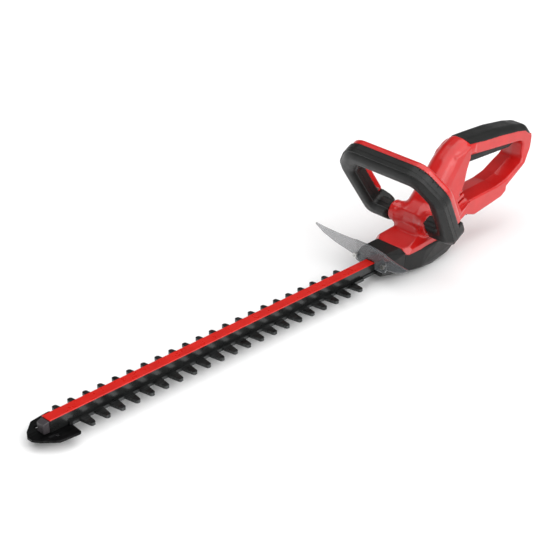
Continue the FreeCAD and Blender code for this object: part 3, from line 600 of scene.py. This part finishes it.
bandPiece("loopFront", loop["half"], loop["seam"] + 0.06, loop["front"], 0.25, loop["frontRound"],
          "blackPlastic", "housing", ("loop_front_half", "loop_screws"))
bandPiece("loopRear", loop["half"], loop["back"], loop["seam"] - 0.06, loop["backRound"], 0.25,
          "blackPlastic", "housing", ("loop_rear_half",), cheek=loop["cheekBack"])
bandPiece("loopCore", loop["half"] - 0.4, 0.4, 9.0, 1.0, 1.0,
          "blackPlastic", "housing", ("loop_tenons",))
bandPiece("switchLever", loop["leverHalf"], loop["leverBack"], loop["leverFront"], 4.2, 0.5,
          "redPlastic", "front_lever", ("front_switch_lever",), loop["leverLow"])

# Trigger: one outline, its edges rounded by shrinking it at its two sides.
trigger = {"outline": [(-690, 98), (-780, 92.5), (-788, 96), (-794, 102), (-800, 106.5), (-797, 110.5),
                       (-780, 106.5), (-690, 113.5)],
           "rounds": [6, 6, 2, 3, 3, 3, 2, 2], "half": 9.0,
           "edge": [(-1, 2.2), (-0.97, 0.9), (-0.88, 0.2), (-0.75, 0), (0.75, 0), (0.88, 0.2), (0.97, 0.9),
                    (1, 2.2)]}
shape = rounded(trigger["outline"], trigger["rounds"])
middle = shape.mean(0)
rings = []
for y, shrink in trigger["edge"]:
    toward = middle - shape
    toward /= np.linalg.norm(toward, axis=1)[:, None]
    ring = shape + toward * shrink
    rings.append(np.stack([ring[:, 0], np.full(len(ring), y * trigger["half"]), ring[:, 1]], 1))


def skinOf(rings):
    # closed skin over a row of rings, each end closed to its middle
    count, around = len(rings), len(rings[0])
    points = np.concatenate([*rings, rings[0].mean(0)[None], rings[-1].mean(0)[None]])
    i, j = np.meshgrid(np.arange(count - 1), np.arange(around), indexing="ij")
    k = (j + 1) % around
    a, b, c, d = i * around + j, i * around + k, (i + 1) * around + k, (i + 1) * around + j
    ring = np.arange(around)
    last = (count - 1) * around
    return points, np.concatenate([
        np.stack([a, b, c], -1).reshape(-1, 3), np.stack([a, c, d], -1).reshape(-1, 3),
        np.stack([np.roll(ring, -1), ring, np.full(around, count * around)], 1),
        np.stack([last + ring, last + np.roll(ring, -1), np.full(around, count * around + 1)], 1)])


points, faces = skinOf(rings)
outward(newPiece("pullTrigger", points, faces, finishes["blackPlastic"], "rear_trigger",
                 ("rear_trigger",), 40))
print("trigger")


# Black gear case and nose: convex castings with bevelled facets.
def casting(name, half, material, stands, width):
    # convex hull of the corners and their mirror images, flat facets joined, edges rounded
    shape = bmesh.new()
    for x, y, z in half:
        for side in ((1,) if y == 0 else (-1, 1)):
            shape.verts.new(Vector(datum) + Vector((x, y * side, z)) * mm)
    made = bmesh.ops.convex_hull(shape, input=shape.verts)
    spare = list({v for v in made["geom_interior"] + made["geom_unused"]})
    bmesh.ops.delete(shape, geom=spare, context="VERTS")
    bmesh.ops.dissolve_limit(shape, angle_limit=math.radians(2), verts=shape.verts, edges=shape.edges)
    bmesh.ops.recalc_face_normals(shape, faces=shape.faces)
    mesh = bpy.data.meshes.new(name)
    shape.to_mesh(mesh)
    shape.free()
    piece = enlist(bpy.data.objects.new(name, mesh), material, "housing", stands)
    roundEdges(piece, width, 3, 8)
    return piece


caseCorners = [(-546, 20, 21), (-549, 27.5, 18), (-585, 32.5, 13), (-608, 33, 17.5), (-640, 31, 18),
               (-663, 22, 22), (-575, 31, -10), (-546, 26, -9), (-651, 27.5, 1), (-636, 25, -12),
               (-609, 22, -20), (-588, 20, -20), (-560, 18, -15), (-546, 14, -10), (-663, 16, 8),
               (-645, 12, -9)]
noseCorners = [(-546, 20, 25), (-549, 27.5, 19), (-546, 27, -8), (-546, 14, -10), (-513, 19, 25),
               (-513, 27, 13), (-513, 27, 7), (-513, 16, -7)]
casting("gearCase", caseCorners, finishes["blackPlastic"], ("gear_case",), 1.1)
casting("noseCasting", noseCorners, finishes["blackPlastic"], ("blade_nose",), 1.0)
print("gear case and nose")

# Smoked hand guard: a swept sheet, worked out from the way out from the bar and the way up.
guard = {"reach": 81.0, "flat": 25.0, "sweep": 19.0, "face": -510.4, "thick": 2.2, "gap": 8.2, "roll": 0.062,
         "lowAt": [8, 23, 26, 30, 40, 53, 70, 81], "low": [3, 3.5, 5, 11.5, 15.5, 20.5, 30, 39.5],
         "highAt": [8, 30, 50, 70, 81], "high": [33.5, 31.8, 34.3, 38, 41]}


def guardGrid(side):
    # way out from the bar by way up: flat by the bar and swept forward beyond it, narrowing to a point
    out, up = np.meshgrid(np.linspace(0, 1, 70), np.linspace(0, 1, 12), indexing="ij")
    y = guard["gap"] + (guard["reach"] - guard["gap"]) * out
    low = np.interp(y, guard["lowAt"], guard["low"])
    high = np.interp(y, guard["highAt"], guard["high"])
    z = low + (high - low) * up - guard["roll"] * side * y
    x = guard["face"] + guard["sweep"] * np.maximum(y - guard["flat"], 0) / (guard["reach"] - guard["flat"])
    return np.stack([x, side * y, z], -1).reshape(-1, 3), out.shape


def guardSheet():
    # the two lobes, joined above the bar
    points, faces = [], []
    for n, side in enumerate((1, -1)):
        grid, (rows, columns) = guardGrid(side)
        i, j = np.meshgrid(np.arange(rows - 1), np.arange(columns - 1), indexing="ij")
        a = (i * columns + j).ravel() + n * rows * columns
        quads = np.stack([a, a + columns, a + columns + 1, a + 1], 1)
        points.append(grid)
        faces.append(quads if side > 0 else quads[:, ::-1])
    left, right = guardGrid(1)[0][:12], guardGrid(-1)[0][:12]
    above = np.flatnonzero(left[:, 2] > 12.6)
    size = len(points[0])
    over = np.stack([above[:-1], above[1:], size + above[1:], size + above[:-1]], 1)
    return np.concatenate(points), np.concatenate([*faces, over])


points, faces = guardSheet()
sheet = newPiece("handGuard", points, faces, finishes["smokedSheet"], "housing",
                 ("hand_guard",), 40)
modify(sheet, "SOLIDIFY", thickness=guard["thick"] * mm, offset=0)
print("hand guard")


# Mechanical pieces that keep their shape, with rounded edges.
def softened(node, name, width):
    # a merged copy of the node's mesh with flat faces joined and its edges rounded
    shape = bmesh.new()
    shape.from_mesh(frame["nodes"][node].data)
    bmesh.ops.remove_doubles(shape, verts=shape.verts, dist=2e-6)
    bmesh.ops.dissolve_limit(shape, angle_limit=math.radians(1), verts=shape.verts, edges=shape.edges)
    mesh = bpy.data.meshes.new(name)
    shape.to_mesh(mesh)
    shape.free()
    slot = nodeSlot[node]
    piece = enlist(bpy.data.objects.new(name, mesh), finishes[slotFinish[slot]], nodeBody[node],
                   (node,))
    roundEdges(piece, width, 2, 25)


# Rail cover: a channel over the bar, swept along it.
cover = {"rear": -510.0, "front": 22.0, "half": 7.7, "topHalf": 7.1, "top": 12.0, "edge": 11.4, "low": -4.1,
         "wall": 0.6}
inner = cover["half"] - cover["wall"]
half = [(cover["half"], cover["low"]), (cover["half"], cover["edge"]), (cover["topHalf"], cover["top"])]
channel = np.array([*half, *[(-y, z) for y, z in half[::-1]], (-inner, cover["low"]),
                    (-inner, cover["top"] - 1), (inner, cover["top"] - 1), (inner, cover["low"])])
rings = [np.concatenate([np.full((len(channel), 1), x), channel], 1)
         for x in np.linspace(cover["rear"], cover["front"], 60)]
points, faces = skinOf(rings)
outward(newPiece("railCover", points, faces, finishes["toppedPaint"], "housing",
                 ("rail_cover",), 25))
for node, name, width in (("tip_plate", "tipPlate", 0.5), ("upper_blade", "upperBlade", 0.3),
                          ("lower_blade", "lowerBlade", 0.3)):
    softened(node, name, width)
capCorners = [(22.1, 7, -4), (22.1, 7, 10.6), (30.2, 6.2, -4), (30.2, 6.2, 8.8)]
casting("railEndCap", capCorners, finishes["greyCap"], ("rail_end_cap",), 0.7)
print("bar")


# Floor, light and camera.
def studio():
    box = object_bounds()
    bpy.ops.mesh.primitive_plane_add(size=12, location=(0, 0, box[0].z))
    floor = bpy.context.object
    floor.name = "floor"
    paper = Finish("palePaper", Roughness=0.9, Base_Color=(0.93, 0.93, 0.93))
    paper.relief(paper.noise(30), 0.02, 0.5)
    floor.data.materials.append(paper.material)
    floor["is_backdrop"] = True
    world = bpy.data.worlds.new("studio")
    world.use_nodes = True
    tree = world.node_tree
    direction = tree.nodes.new("ShaderNodeTexCoord")
    height = tree.nodes.new("ShaderNodeSeparateXYZ")
    sky = tree.nodes.new("ShaderNodeValToRGB")
    tree.links.new(direction.outputs["Generated"], height.inputs[0])
    tree.links.new(height.outputs["Z"], sky.inputs[0])
    tree.links.new(sky.outputs[0], tree.nodes["Background"].inputs["Color"])
    for element, (at, grey) in zip(sky.color_ramp.elements, room["sky"]):
        element.position, element.color = at, (grey, grey, grey, 1)
    bpy.context.scene.world = world
    for name, place, angle, power in room["suns"]:
        lamp = bpy.data.lights.new(name, "SUN")
        lamp.angle, lamp.energy = math.radians(angle), power
        thing = bpy.data.objects.new(name, lamp)
        bpy.context.scene.collection.objects.link(thing)
        thing.rotation_euler = Vector(place).to_track_quat("Z", "Y").to_euler()
    bpy.context.scene.view_settings.view_transform = "Standard"


room = {"sky": [(0.10, 0.62), (0.50, 0.04)],
        "suns": [("overhead", (0.1, 0.25, 1.0), 100, 3.2), ("nearSide", (0.15, 0.95, 0.42), 60, 1.5)]}
camera = {"back": (0.61650, 0.62520, 0.47870), "distance": 2.078, "target": (-344.4, 0, 46.8),
          "lens": 107.93, "sensor": 36}


def placeCamera():
    data = bpy.data.cameras.new("camera")
    data.lens = camera["lens"]
    data.sensor_width = camera["sensor"]
    thing = bpy.data.objects.new("camera", data)
    bpy.context.scene.collection.objects.link(thing)
    back = Vector(camera["back"]).normalized()
    thing.location = Vector(datum) + Vector(camera["target"]) * mm + back * camera["distance"]
    thing.rotation_euler = (-back).to_track_quat("-Z", "Y").to_euler()
    bpy.context.scene.camera = thing


studio()
placeCamera()
print("studio and camera")
